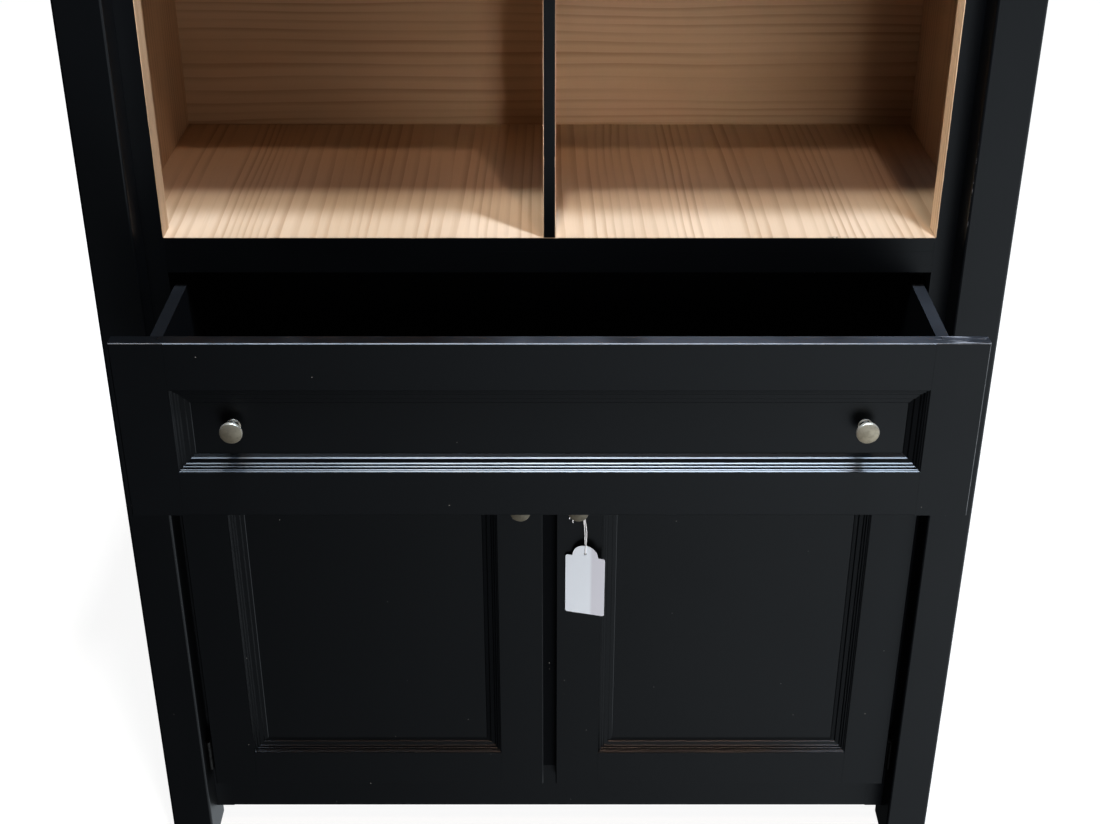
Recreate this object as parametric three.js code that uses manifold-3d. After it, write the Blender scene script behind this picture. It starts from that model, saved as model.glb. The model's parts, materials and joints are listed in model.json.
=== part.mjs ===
// Tall dresser with an open hutch, one wide drawer and a pair of doors. Lengths are in millimetres.
// X runs to the right, Y to the back and Z up. Inside the cabinet's own group, Y = 0 is the front of the posts
// and Z = 0 the floor. The exported group is moved so that its origin is the middle of the footprint.
// The drawer stands open and the doors are shut.

import * as THREE from 'three';
import { mergeVertices } from 'three/addons/utils/BufferGeometryUtils.js';
import Module from 'manifold-3d';

const wasm = await Module();
wasm.setup();

// Whole cabinet
const cabinetWidth = 1100;
const cabinetDepth = 465;
const carcassHeight = 1868;
const glueLine = 0.1;
const runningGap = 0.3;
const overrun = 5;

// Front posts, which stand proud of the face frame
const postWidth = 57;
const postProud = 41;
const postRound = 3;
const postRoundSteps = 3;

// Face frame
const frameThickness = 32;
const frameStileWidth = 25;
const hutchFloorTop = 950;
const hutchFloorThickness = 18;
const waistRailHeight = 28;
const drawerOpeningHeight = 188;
const drawerRailHeight = 40;
const baseClearance = 40;
const baseRailHeight = 77;
const topRailHeight = 48;
const railEase = 1;

// Carcass boards
const sideThickness = 32;
const sideFieldRecess = 12;
const sideBorder = 60;
const fieldBevel = 6;
const backThickness = 9;
const backRebate = 16;
const dividerThickness = 15;
const shelfThickness = 18;
const shelfSetback = 6;
const shelfEase = 1.5;
const hutchShelfHeight = 450;
const cabinetFloorThickness = 18;
const cabinetShelfHeight = 283;
const cabinetShelfSetback = 60;

// Cornice and top board
const corniceHeight = 30;
const corniceReach = 22;
const corniceFillet = 4;
const coveSteps = 6;
const topThickness = 22;
const topOverhang = 28;

// Framed fronts: drawer front and doors
const frontThickness = 18;
const frontOverlay = 17;
const bumperGap = 2;
const frontStileWidth = 60;
const drawerRailWidth = 58;
const doorRailWidth = 58;
const frontEase = 1.2;
const panelRecess = 9.5;
const panelThickness = 5.6;
const grooveSlack = 0.2;
const grooveDepth = 8;
const panelPlay = 0.6;
const mouldingWidth = 21;
const mouldingSink = 0.4;
const drawerFrontHeight = 223.5;
const doorGap = 18;

// Drawer box and its runners
const drawerPull = 211;
const drawerSidePlay = 5;
const drawerSideThickness = 15;
const drawerSideHeight = 164;
const drawerBoxDepth = 410;
const drawerLift = 4;
const drawerEndDrop = 6;
const drawerBottomThickness = 6;
const drawerBottomInset = 10;
const drawerGrooveDepth = 6;
const runnerThickness = 18;
const runnerReach = 13;
const guideHeight = 16;
const guidePlay = 2;
const kickerPlay = 2;

// Knobs
const knobRadius = 13.2;
const knobReach = 22.2;
const knobSegments = 28;
const drawerKnobInset = 67;
const drawerKnobRise = 3.5;
const doorKnobDrop = 114;
const doorKnobInset = 29;

// Butt hinges between the doors and the posts
const hingeLength = 50;
const hingeEndDistance = 30;
const hingeLeafThickness = 1.6;
const hingeLeafWidth = 19;
const knuckleRadius = 3.2;
const knuckleCount = 5;
const knuckleAhead = 2;
const hingePinRadius = 1.5;
const hingeBoreRadius = 1.85;
const hingeSegments = 16;

// Hang tag on the right door's knob
const tagWidth = 54;
const tagBodyHeight = 93;
const tagDomeRadius = 17.5;
const tagCornerRadius = 3;
const tagThickness = 0.8;
const tagHoleRadius = 1.9;
const tagHoleDrop = 13;
const tagYaw = THREE.MathUtils.degToRad(-14);
const tagDrop = 57.5;
const tagAside = 9.6;
const stringRadius = 0.8;
const stringSides = 8;
const stringSteps = 90;
const wrapSteps = 4;
const tagCurveSteps = 10;

// Outlines, as shares of the sizes that they follow
// Panel moulding: share of its width from the frame inwards, share of its height above the panel
const mouldingShares = [
  [0, 0], [0, 1], [0.03, 1], [0.075, 0.85], [0.095, 0.845], [0.15, 0.66], [0.235, 0.65], [0.29, 0.47],
  [0.385, 0.455], [0.44, 0.275], [0.69, 0.255], [0.745, 0.08], [0.965, 0.06], [1, 0],
];
// Knob: share of its radius, share of its reach from the mounting face
const knobShares = [
  [0, 0], [0.62, 0], [0.64, 0.03], [0.63, 0.07], [0.54, 0.09], [0.5, 0.15], [0.41, 0.21], [0.34, 0.31],
  [0.34, 0.5], [0.44, 0.575], [0.72, 0.625], [0.93, 0.665], [0.99, 0.715], [1, 0.775], [0.985, 0.835],
  [0.93, 0.885], [0.72, 0.94], [0.4, 0.985], [0, 1],
];
// The neck's radius and how far out it is narrowest, as shares of the knob's radius and reach
const knobNeckRadiusShare = 0.34;
const knobNeckShare = 0.4;
// The cove's step at its lower fillet, as a share of the fillet
const coveStepShare = 0.3;
// Top board's edge: share of the overhang, share of the thickness
const topEdgeShares = [
  [0.9, 0], [1, 0.1], [1, 0.5], [0.96, 0.62], [0.86, 0.68], [0.86, 0.78], [0.82, 0.9], [0.72, 1],
];

// Places that follow from the sizes
const halfWidth = cabinetWidth / 2;
const postInner = halfWidth - postWidth;
const openingHalf = postInner - frameStileWidth;
const wallInner = halfWidth - sideThickness;
const framePlane = postProud;
const frameBack = framePlane + frameThickness;
const backPlane = cabinetDepth - backThickness;
const drawerOpeningTop = hutchFloorTop - hutchFloorThickness - waistRailHeight;
const drawerOpeningBottom = drawerOpeningTop - drawerOpeningHeight;
const doorOpeningTop = drawerOpeningBottom - drawerRailHeight;
const doorOpeningBottom = baseClearance + baseRailHeight;
const headerBottom = carcassHeight - corniceHeight;
const topRailBottom = headerBottom - topRailHeight;
const frontHalf = openingHalf + frontOverlay;
const closedFace = framePlane - bumperGap - frontThickness;
const openFace = closedFace - drawerPull;
const drawerFrontBottom = drawerOpeningBottom - frontOverlay;
const drawerFrontMiddle = drawerFrontBottom + drawerFrontHeight / 2;
const doorTop = doorOpeningTop + frontOverlay;
const doorBottom = doorOpeningBottom - frontOverlay;
const doorHeight = doorTop - doorBottom;
const doorMiddle = (doorTop + doorBottom) / 2;
const doorWidth = frontHalf - doorGap / 2;
const mouldingHeight = panelRecess - mouldingSink;
const knobNeckRadius = knobRadius * knobNeckRadiusShare;

// Materials
const blackPaint = new THREE.MeshStandardMaterial({ color: 0x15171a, roughness: 0.42, metalness: 0 });
const drawerBlack = new THREE.MeshStandardMaterial({ color: 0x101113, roughness: 0.6, metalness: 0 });
const barePine = new THREE.MeshStandardMaterial({ color: 0xd2ac7e, roughness: 0.62, metalness: 0 });
const pewter = new THREE.MeshStandardMaterial({ color: 0x8d867c, roughness: 0.36, metalness: 0.9 });
const hingeSteel = new THREE.MeshStandardMaterial({ color: 0x3b3a38, roughness: 0.45, metalness: 0.9 });
const tagCard = new THREE.MeshStandardMaterial({ color: 0xf1f3f6, roughness: 0.6, metalness: 0 });
const tagCotton = new THREE.MeshStandardMaterial({ color: 0xf4f4f2, roughness: 0.85, metalness: 0 });

const cabinet = new THREE.Group();

function piece(name, geometry, material, parent = cabinet) {
  const mesh = new THREE.Mesh(geometry, material);
  mesh.name = name;
  parent.add(mesh);
  return mesh;
}

// Solids from closed geometry, and back
function bareOf(geometry) {
  const bare = geometry.clone();
  bare.deleteAttribute('normal');
  bare.deleteAttribute('uv');
  return bare;
}

function solidOf(geometry) {
  const merged = mergeVertices(bareOf(geometry));
  const vertProperties = new Float32Array(merged.attributes.position.array);
  const triVerts = new Uint32Array(merged.index.array);
  return new wasm.Manifold(new wasm.Mesh({ numProp: 3, vertProperties, triVerts }));
}

function geometryOf(solid) {
  const mesh = solid.getMesh();
  const geometry = new THREE.BufferGeometry();
  geometry.setAttribute('position', new THREE.BufferAttribute(new Float32Array(mesh.vertProperties), 3));
  geometry.setIndex(new THREE.BufferAttribute(new Uint32Array(mesh.triVerts), 1));
  geometry.computeVertexNormals();
  return geometry;
}

function joined(first, ...others) {
  return geometryOf(others.reduce((sum, other) => sum.add(solidOf(other)), solidOf(first)));
}

function cutBy(body, ...tools) {
  return geometryOf(tools.reduce((rest, tool) => rest.subtract(solidOf(tool)), solidOf(body)));
}

// Straight lengths: an outline swept along one axis. The outline's two numbers are X and Y on a length along Z,
// Y and Z on a length along X, and X and Z on a length along Y.
const xAxis = new THREE.Vector3(1, 0, 0);
const yAxis = new THREE.Vector3(0, 1, 0);
const zAxis = new THREE.Vector3(0, 0, 1);

function sweptAlong(axis, outline, from, to) {
  const shape = new THREE.Shape(outline.map(([a, b]) => new THREE.Vector2(a, b)));
  const geometry = new THREE.ExtrudeGeometry(shape, { depth: to - from, bevelEnabled: false });
  if (axis === 'x') {
    geometry.applyMatrix4(new THREE.Matrix4().makeBasis(yAxis, zAxis, xAxis));
    geometry.translate(from, 0, 0);
  } else if (axis === 'y') {
    geometry.applyMatrix4(new THREE.Matrix4().makeBasis(xAxis, zAxis, yAxis.clone().negate()));
    geometry.translate(0, to, 0);
  } else {
    geometry.translate(0, 0, from);
  }
  return geometry;
}

function block([x0, x1], [y0, y1], [z0, z1]) {
  const geometry = new THREE.BoxGeometry(x1 - x0, y1 - y0, z1 - z0);
  geometry.translate((x0 + x1) / 2, (y0 + y1) / 2, (z0 + z1) / 2);
  return geometry;
}

// A rectangle with the two corners at the low end of its second number rounded
function roundedFront([a0, a1], [b0, b1], radius, steps) {
  const points = [];
  for (const [centre, start] of [[a0 + radius, Math.PI], [a1 - radius, 1.5 * Math.PI]]) {
    for (let i = 0; i <= steps; i += 1) {
      const angle = start + (i / steps) * (Math.PI / 2);
      points.push([centre + radius * Math.cos(angle), b0 + radius + radius * Math.sin(angle)]);
    }
  }
  return [...points, [a1, b1], [a0, b1]];
}

// The same solid on the other side of the plane X = 0
function mirrored(geometry) {
  const copy = geometry.index ? geometry.clone() : mergeVertices(bareOf(geometry));
  copy.scale(-1, 1, 1);
  return facingOut(copy);
}

// Rings of points joined into a closed skin. Each ring has the same number of points. The skin closes on itself
// round the rings when ringsClose is set, and otherwise ends in two flat caps.
function skinned(rings, ringsClose) {
  const count = rings[0].length;
  const index = [];
  const spans = ringsClose ? rings.length : rings.length - 1;
  for (let r = 0; r < spans; r += 1) {
    const here = r * count;
    const next = ((r + 1) % rings.length) * count;
    for (let p = 0; p < count; p += 1) {
      const q = (p + 1) % count;
      index.push(here + p, here + q, next + q, here + p, next + q, next + p);
    }
  }
  if (!ringsClose) {
    const flat = flatten(rings[0]);
    const last = (rings.length - 1) * count;
    for (const [a, b, c] of THREE.ShapeUtils.triangulateShape(flat, [])) {
      index.push(c, b, a, last + a, last + b, last + c);
    }
  }
  const geometry = new THREE.BufferGeometry();
  geometry.setAttribute('position', new THREE.Float32BufferAttribute(rings.flat(2), 3));
  geometry.setIndex(index);
  geometry.computeVertexNormals();
  return facingOut(geometry);
}

// A flat ring's points in their own plane, in the order that keeps its turning direction
function flatten(ring) {
  const points = ring.map((point) => new THREE.Vector3(...point));
  const normal = new THREE.Vector3();
  points.forEach((point, i) => normal.add(new THREE.Vector3().crossVectors(point, points[(i + 1) % points.length])));
  normal.normalize();
  const across = points[1].clone().sub(points[0]).normalize();
  const along = new THREE.Vector3().crossVectors(normal, across);
  return points.map((point) => new THREE.Vector2(point.dot(across), point.dot(along)));
}

function facingOut(geometry) {
  const { array } = geometry.attributes.position;
  const index = geometry.index.array;
  const corner = (i) => new THREE.Vector3().fromArray(array, index[i] * 3);
  let volume = 0;
  for (let i = 0; i < index.length; i += 3) {
    volume += corner(i).dot(corner(i + 1).cross(corner(i + 2)));
  }
  if (volume < 0) {
    for (let i = 0; i < index.length; i += 3) {
      [index[i], index[i + 1]] = [index[i + 1], index[i]];
    }
    geometry.computeVertexNormals();
  }
  return geometry;
}

// Front posts
const postOutline = roundedFront([postInner, halfWidth], [0, frameBack - glueLine], postRound, postRoundSteps);
const postGeometry = sweptAlong('z', postOutline, 0, carcassHeight);
piece('front_post_right', postGeometry, blackPaint);
piece('front_post_left', mirrored(postGeometry), blackPaint);

// Face frame: two stiles, the rails between them and the mullion
const frameDepth = [framePlane, frameBack];
const betweenStiles = [-openingHalf + glueLine, openingHalf - glueLine];
const stileGeometry = block([openingHalf, postInner - glueLine], frameDepth, [baseClearance, headerBottom - glueLine]);
piece('face_stile_right', stileGeometry, blackPaint);
piece('face_stile_left', mirrored(stileGeometry), blackPaint);
piece('waist_rail', block(betweenStiles, frameDepth,
  [drawerOpeningTop, hutchFloorTop - hutchFloorThickness - glueLine]), blackPaint);
piece('drawer_rail', block(betweenStiles, frameDepth, [doorOpeningTop, drawerOpeningBottom]), blackPaint);
piece('base_rail', sweptAlong('x',
  [[framePlane, baseClearance + railEase], [framePlane + railEase, baseClearance], [frameBack, baseClearance],
    [frameBack, doorOpeningBottom], [framePlane, doorOpeningBottom]], ...betweenStiles), blackPaint);
const mullionHalf = doorGap / 2 + frontOverlay;
piece('door_mullion', block([-mullionHalf, mullionHalf], frameDepth,
  [doorOpeningBottom + glueLine, doorOpeningTop - glueLine]), blackPaint);

// Top rail: the part between the stiles, with the header above it that packs out to the front of the posts
const headerHalf = postInner - glueLine;
piece('top_rail', joined(
  block(betweenStiles, frameDepth, [topRailBottom, headerBottom + overrun]),
  block([-headerHalf, headerHalf], [0, frameBack], [headerBottom, carcassHeight]),
), blackPaint);

// Sides: a glued frame and field in one, with a rebate for the backs and a foot at the rear
function sideGeometry() {
  const board = sweptAlong('z', [
    [wallInner, frameBack], [halfWidth, frameBack], [halfWidth, cabinetDepth],
    [wallInner + backRebate, cabinetDepth], [wallInner + backRebate, backPlane], [wallInner, backPlane],
  ], 0, carcassHeight);
  const field = (low, high) => recess([frameBack + sideBorder, cabinetDepth - sideBorder], [low, high]);
  const waist = hutchFloorTop - hutchFloorThickness / 2;
  const underside = block([wallInner - overrun, halfWidth + overrun],
    [frameBack - overrun, cabinetDepth - sideBorder], [-overrun, baseClearance]);
  return cutBy(board, underside,
    field(baseClearance + sideBorder, waist - sideBorder / 2),
    field(waist + sideBorder / 2, carcassHeight - corniceHeight - sideBorder));
}

// A sunk field in the outer face of the right side, with bevelled walls
function recess([y0, y1], [z0, z1]) {
  const ring = (x, inset) => [
    [x, y0 + inset, z0 + inset], [x, y1 - inset, z0 + inset], [x, y1 - inset, z1 - inset], [x, y0 + inset, z1 - inset],
  ];
  const slope = fieldBevel / sideFieldRecess;
  return skinned([ring(halfWidth - sideFieldRecess, fieldBevel), ring(halfWidth + overrun, -overrun * slope)], false);
}

const rightSide = sideGeometry();
piece('side_panel_right', rightSide, blackPaint);
piece('side_panel_left', mirrored(rightSide), blackPaint);

// Backs, in the sides' rebates, meeting behind the middle of the hutch floor
const backHalf = wallInner + backRebate - glueLine;
const backJoint = hutchFloorTop - hutchFloorThickness / 2;
const backDepth = [backPlane + glueLine, cabinetDepth];
const cabinetFloorTop = doorOpeningBottom;
piece('hutch_back', block([-backHalf, backHalf], backDepth, [backJoint + glueLine, carcassHeight]), barePine);
piece('base_back', block([-backHalf, backHalf], backDepth,
  [cabinetFloorTop - cabinetFloorThickness, backJoint]), blackPaint);

// Hutch floor: runs through to the front between the stiles
const insideHalf = wallInner - glueLine;
const floorStep = openingHalf - glueLine;
const floorBack = frameBack + glueLine;
const hutchFloorOutline = [
  [-floorStep, framePlane], [floorStep, framePlane], [floorStep, floorBack], [insideHalf, floorBack],
  [insideHalf, backPlane], [-insideHalf, backPlane], [-insideHalf, floorBack], [-floorStep, floorBack],
];
piece('hutch_floor', sweptAlong('z', hutchFloorOutline, hutchFloorTop - hutchFloorThickness, hutchFloorTop), barePine);

// Divider: from the floor to the top, notched round the top rail
const dividerHalf = dividerThickness / 2;
const insideTop = carcassHeight - glueLine;
piece('hutch_divider', sweptAlong('x', [
  [framePlane, hutchFloorTop + glueLine], [backPlane, hutchFloorTop + glueLine], [backPlane, insideTop],
  [frameBack + glueLine, insideTop], [frameBack + glueLine, topRailBottom - glueLine],
  [framePlane, topRailBottom - glueLine],
], -dividerHalf, dividerHalf), barePine);

// Shelves: one on each side of the divider, and one in the base
function easedShelf([x0, x1], [y0, y1], [z0, z1]) {
  const outline = [[y0, z0 + shelfEase], [y0 + shelfEase, z0], [y1, z0], [y1, z1], [y0 + shelfEase, z1],
    [y0, z1 - shelfEase]];
  return sweptAlong('x', outline, x0, x1);
}

const hutchShelfBottom = hutchFloorTop + hutchShelfHeight;
const hutchShelf = easedShelf([dividerHalf + glueLine, insideHalf], [frameBack + shelfSetback, backPlane],
  [hutchShelfBottom, hutchShelfBottom + shelfThickness]);
piece('hutch_shelf_right', hutchShelf, barePine);
piece('hutch_shelf_left', mirrored(hutchShelf), barePine);
const cabinetShelfBottom = cabinetFloorTop + cabinetShelfHeight;
piece('cabinet_shelf', easedShelf([-insideHalf, insideHalf], [frameBack + cabinetShelfSetback, backPlane],
  [cabinetShelfBottom, cabinetShelfBottom + shelfThickness]), blackPaint);
piece('cabinet_floor', block([-insideHalf, insideHalf], [frameBack + glueLine, backPlane],
  [cabinetFloorTop - cabinetFloorThickness, cabinetFloorTop]), blackPaint);

// Cornice: a cove with fillets, mitred round the front and both sides under the top board
function corniceGeometry() {
  const coveRadius = corniceReach - corniceFillet;
  const profile = [[0, corniceHeight], [corniceReach, corniceHeight], [corniceReach, corniceHeight - corniceFillet]];
  for (let i = 0; i <= coveSteps; i += 1) {
    const angle = (i / coveSteps) * (Math.PI / 2);
    profile.push([
      corniceReach - corniceFillet * coveStepShare - coveRadius * Math.sin(angle),
      corniceFillet + (corniceHeight - 2 * corniceFillet) * Math.cos(angle),
    ]);
  }
  const foot = profile[profile.length - 1][0];
  profile.push([foot, 0], [0, 0]);
  const station = (place) => profile.map(([out, up]) => place(out + glueLine, headerBottom + up - glueLine));
  return skinned([
    station((out, z) => [-halfWidth - out, cabinetDepth, z]),
    station((out, z) => [-halfWidth - out, -out, z]),
    station((out, z) => [halfWidth + out, -out, z]),
    station((out, z) => [halfWidth + out, cabinetDepth, z]),
  ], false);
}

piece('cornice', corniceGeometry(), blackPaint);

// Top board: moulded on the front and both sides, flush at the back
function topBoardGeometry() {
  return skinned(topEdgeShares.map(([outShare, upShare]) => {
    const out = topOverhang * outShare;
    const z = carcassHeight + glueLine + topThickness * upShare;
    const x = halfWidth + out;
    return [[-x, -out, z], [x, -out, z], [x, cabinetDepth, z], [-x, cabinetDepth, z]];
  }), false);
}

piece('top_board', topBoardGeometry(), blackPaint);

// Drawer runners: a ledge, a guide and a kicker on one upright, which stands against the side
const drawerSideOuter = openingHalf - drawerSidePlay;
const drawerBoxBottom = drawerOpeningBottom + drawerLift;
const drawerBoxTop = drawerBoxBottom + drawerSideHeight;
const ledgeTop = drawerBoxBottom - runningGap;
const kickerBottom = drawerBoxTop + kickerPlay;
const ledgeInner = drawerSideOuter - runnerReach;
const guideInner = drawerSideOuter + guidePlay;
const uprightInner = insideHalf - runnerThickness;
const runnerOutline = [
  [ledgeInner, ledgeTop - runnerThickness], [insideHalf, ledgeTop - runnerThickness],
  [insideHalf, kickerBottom + runnerThickness], [ledgeInner, kickerBottom + runnerThickness],
  [ledgeInner, kickerBottom], [uprightInner, kickerBottom], [uprightInner, ledgeTop + guideHeight],
  [guideInner, ledgeTop + guideHeight], [guideInner, ledgeTop], [ledgeInner, ledgeTop],
];
const runnerGeometry = sweptAlong('y', runnerOutline, frameBack + glueLine, backPlane);
piece('drawer_runner_right', runnerGeometry, drawerBlack);
piece('drawer_runner_left', mirrored(runnerGeometry), drawerBlack);

// Framed fronts. A front's own group has the middle of its face at the origin. Stiles and rails are grooved on
// their inner edges, the rails' tongues and the panel sit in the grooves, and the moulding covers the panel's edge.
const grooveFront = panelRecess - grooveSlack;
const grooveBack = panelRecess + panelThickness + grooveSlack;

// Outline of a member: across from its outer edge to its grooved inner edge, and from its face to its back
function groovedOutline(memberWidth) {
  return [
    [frontEase, 0], [memberWidth, 0], [memberWidth, grooveFront], [memberWidth - grooveDepth, grooveFront],
    [memberWidth - grooveDepth, grooveBack], [memberWidth, grooveBack], [memberWidth, frontThickness],
    [0, frontThickness], [0, frontEase],
  ];
}

function stileGeometryOf(frontHalfWidth, height) {
  const outline = groovedOutline(frontStileWidth).map(([across, y]) => [frontHalfWidth - across, y]);
  return sweptAlong('z', outline, -height / 2, height / 2);
}

// The lower rail, or the upper one when side is 1
function railGeometryOf(frontHalfWidth, height, memberWidth, side) {
  const half = frontHalfWidth - frontStileWidth - glueLine;
  const outline = groovedOutline(memberWidth).map(([across, y]) => [y, side * (height / 2 - across)]);
  const tongueHalf = half + grooveDepth - panelPlay;
  const tongueEdges = [side * (height / 2), side * (height / 2 - memberWidth + grooveDepth)].sort((a, b) => a - b);
  const tongue = block([-tongueHalf, tongueHalf], [panelRecess, panelRecess + panelThickness], tongueEdges);
  return joined(sweptAlong('x', outline, -half, half), tongue);
}

function mouldingRing(halfAcross, halfUp) {
  return skinned(mouldingShares.map(([inShare, upShare]) => {
    const inset = glueLine + mouldingWidth * inShare;
    const y = panelRecess - glueLine - (mouldingHeight - glueLine) * upShare;
    const x = halfAcross - inset;
    const z = halfUp - inset;
    return [[-x, y, -z], [x, y, -z], [x, y, z], [-x, y, z]];
  }), true);
}

function framedFront(group, front) {
  const half = front.width / 2;
  const stile = stileGeometryOf(half, front.height);
  piece(front.names.rightStile, stile, blackPaint, group);
  piece(front.names.leftStile, mirrored(stile), blackPaint, group);
  piece(front.names.upperRail, railGeometryOf(half, front.height, front.railWidth, 1), blackPaint, group);
  piece(front.names.lowerRail, railGeometryOf(half, front.height, front.railWidth, -1), blackPaint, group);
  const openAcross = half - frontStileWidth;
  const openUp = front.height / 2 - front.railWidth;
  const tuck = grooveDepth - panelPlay;
  piece(front.names.panel, block([-openAcross - tuck, openAcross + tuck],
    [panelRecess, panelRecess + panelThickness], [-openUp - tuck, openUp + tuck]), blackPaint, group);
  piece(front.names.moulding, mouldingRing(openAcross, openUp), blackPaint, group);
}

// Knob: base ring, neck and thick head with a low dome, turned about its own axis and pointing to the front
function knobGeometry() {
  const profile = knobShares.map(([radiusShare, reachShare]) => (
    new THREE.Vector2(knobRadius * radiusShare, knobReach * reachShare)));
  const geometry = new THREE.LatheGeometry(profile, knobSegments);
  geometry.rotateX(Math.PI);
  return facingOut(mergeVertices(bareOf(geometry)));
}

function addKnob(name, group, x, y, z) {
  const knob = piece(name, knobGeometry(), pewter, group);
  knob.position.set(x, y - glueLine, z);
}

// Drawer front, with its two knobs on the panel, a little above the middle
const drawerFront = new THREE.Group();
drawerFront.position.set(0, openFace, drawerFrontMiddle);
cabinet.add(drawerFront);
framedFront(drawerFront, {
  width: 2 * frontHalf,
  height: drawerFrontHeight,
  railWidth: drawerRailWidth,
  names: {
    leftStile: 'drawer_front_stile_left',
    rightStile: 'drawer_front_stile_right',
    upperRail: 'drawer_front_rail_upper',
    lowerRail: 'drawer_front_rail_lower',
    panel: 'drawer_front_panel',
    moulding: 'drawer_front_moulding',
  },
});
const drawerKnobX = frontHalf - frontStileWidth - drawerKnobInset;
addKnob('drawer_knob_left', drawerFront, -drawerKnobX, panelRecess, drawerKnobRise);
addKnob('drawer_knob_right', drawerFront, drawerKnobX, panelRecess, drawerKnobRise);

// Drawer box: four sides round a bottom that sits in grooves
const boxFront = openFace + frontThickness + glueLine;
const boxBack = openFace + frontThickness + drawerBoxDepth;
const drawerSideInner = drawerSideOuter - drawerSideThickness;
const bottomLow = drawerBoxBottom + drawerBottomInset;
const bottomHigh = bottomLow + drawerBottomThickness;
const grooveLow = bottomLow - grooveSlack;
const grooveHigh = bottomHigh + grooveSlack;
const sideOutline = [
  [drawerSideInner, drawerBoxBottom], [drawerSideOuter, drawerBoxBottom], [drawerSideOuter, drawerBoxTop],
  [drawerSideInner, drawerBoxTop], [drawerSideInner, grooveHigh], [drawerSideInner + drawerGrooveDepth, grooveHigh],
  [drawerSideInner + drawerGrooveDepth, grooveLow], [drawerSideInner, grooveLow],
];
const drawerSide = sweptAlong('y', sideOutline, boxFront, boxBack);
piece('drawer_side_right', drawerSide, drawerBlack);
piece('drawer_side_left', mirrored(drawerSide), drawerBlack);
const boxInsideHalf = drawerSideInner - glueLine;
const innerFrontBack = boxFront + drawerSideThickness;
piece('drawer_inner_front', sweptAlong('x', [
  [boxFront, drawerBoxBottom], [innerFrontBack, drawerBoxBottom], [innerFrontBack, grooveLow],
  [innerFrontBack - drawerGrooveDepth, grooveLow], [innerFrontBack - drawerGrooveDepth, grooveHigh],
  [innerFrontBack, grooveHigh], [innerFrontBack, drawerBoxTop - drawerEndDrop],
  [boxFront, drawerBoxTop - drawerEndDrop],
], -boxInsideHalf, boxInsideHalf), drawerBlack);
piece('drawer_back', block([-boxInsideHalf, boxInsideHalf], [boxBack - drawerSideThickness, boxBack],
  [grooveHigh, drawerBoxTop - drawerEndDrop]), drawerBlack);
const bottomHalf = drawerSideInner + drawerGrooveDepth - panelPlay;
piece('drawer_bottom', block([-bottomHalf, bottomHalf], [innerFrontBack - drawerGrooveDepth + panelPlay, boxBack],
  [bottomLow, bottomHigh]), drawerBlack);

// Doors: the right one, and the left one as its mirror image
const doorCentre = (frontHalf + doorGap / 2) / 2;
const doorKnobHeight = doorTop - doorKnobDrop;
const doorKnobX = doorGap / 2 + doorKnobInset;
for (const [side, sign] of [['left', -1], ['right', 1]]) {
  const door = new THREE.Group();
  door.position.set(sign * doorCentre, closedFace, doorMiddle);
  cabinet.add(door);
  const [leftStile, rightStile] = sign === 1 ? ['meeting', 'hinge'] : ['hinge', 'meeting'];
  framedFront(door, {
    width: doorWidth,
    height: doorHeight,
    railWidth: doorRailWidth,
    names: {
      leftStile: `door_${side}_${leftStile}_stile`,
      rightStile: `door_${side}_${rightStile}_stile`,
      upperRail: `door_${side}_rail_upper`,
      lowerRail: `door_${side}_rail_lower`,
      panel: `door_${side}_panel`,
      moulding: `door_${side}_moulding`,
    },
  });
  addKnob(`door_${side}_knob`, door, sign * (doorKnobX - doorCentre), 0, doorKnobHeight - doorMiddle);
}

// Butt hinges. The post leaf carries the pin, and the door leaf's knuckles turn on it.
const hingeX = (frontHalf + postInner) / 2;
const hingeY = closedFace - knuckleAhead;
const knucklePitch = hingeLength / knuckleCount;

function barrel(radius, low, high) {
  const geometry = new THREE.CylinderGeometry(radius, radius, high - low, hingeSegments);
  geometry.rotateX(Math.PI / 2);
  geometry.translate(hingeX, hingeY, (low + high) / 2);
  return geometry;
}

// Room for the other leaf's knuckles: every second one, starting with the first or the second from below
function knuckleGaps(low, first) {
  const reach = knuckleRadius + runningGap;
  const gaps = [];
  for (let i = first; i < knuckleCount; i += 2) {
    const end = i === knuckleCount - 1 ? overrun : runningGap / 2;
    const start = i === 0 ? overrun : runningGap / 2;
    gaps.push(block([hingeX - reach, hingeX + reach], [hingeY - reach, hingeY + reach],
      [low + i * knucklePitch - start, low + (i + 1) * knucklePitch + end]));
  }
  return gaps;
}

function postLeaf(low) {
  const plateOuter = postInner - glueLine;
  const plate = block([plateOuter - hingeLeafThickness, plateOuter], [hingeY, hingeY + hingeLeafWidth],
    [low, low + hingeLength]);
  const leaf = cutBy(joined(plate, barrel(knuckleRadius, low, low + hingeLength)), ...knuckleGaps(low, 1));
  return joined(leaf, barrel(hingePinRadius, low + runningGap, low + hingeLength - runningGap));
}

function doorLeaf(low) {
  const plateInner = frontHalf + glueLine;
  const plate = block([plateInner, plateInner + hingeLeafThickness], [hingeY, hingeY + hingeLeafWidth],
    [low, low + hingeLength]);
  const bore = barrel(hingeBoreRadius, low - overrun, low + hingeLength + overrun);
  return cutBy(joined(plate, barrel(knuckleRadius, low, low + hingeLength)), ...knuckleGaps(low, 0), bore);
}

for (const [place, low] of [
  ['upper', doorTop - hingeEndDistance - hingeLength],
  ['lower', doorBottom + hingeEndDistance],
]) {
  const postSide = postLeaf(low);
  const doorSide = doorLeaf(low);
  piece(`hinge_post_leaf_right_${place}`, postSide, hingeSteel);
  piece(`hinge_post_leaf_left_${place}`, mirrored(postSide), hingeSteel);
  piece(`hinge_door_leaf_right_${place}`, doorSide, hingeSteel);
  piece(`hinge_door_leaf_left_${place}`, mirrored(doorSide), hingeSteel);
}

// Hang tag: a card with a domed top and an eyelet hole, hanging in front of the right door's meeting stile.
// In its group the hole is at the origin.
const neckY = closedFace - knobReach * knobNeckShare;

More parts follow.
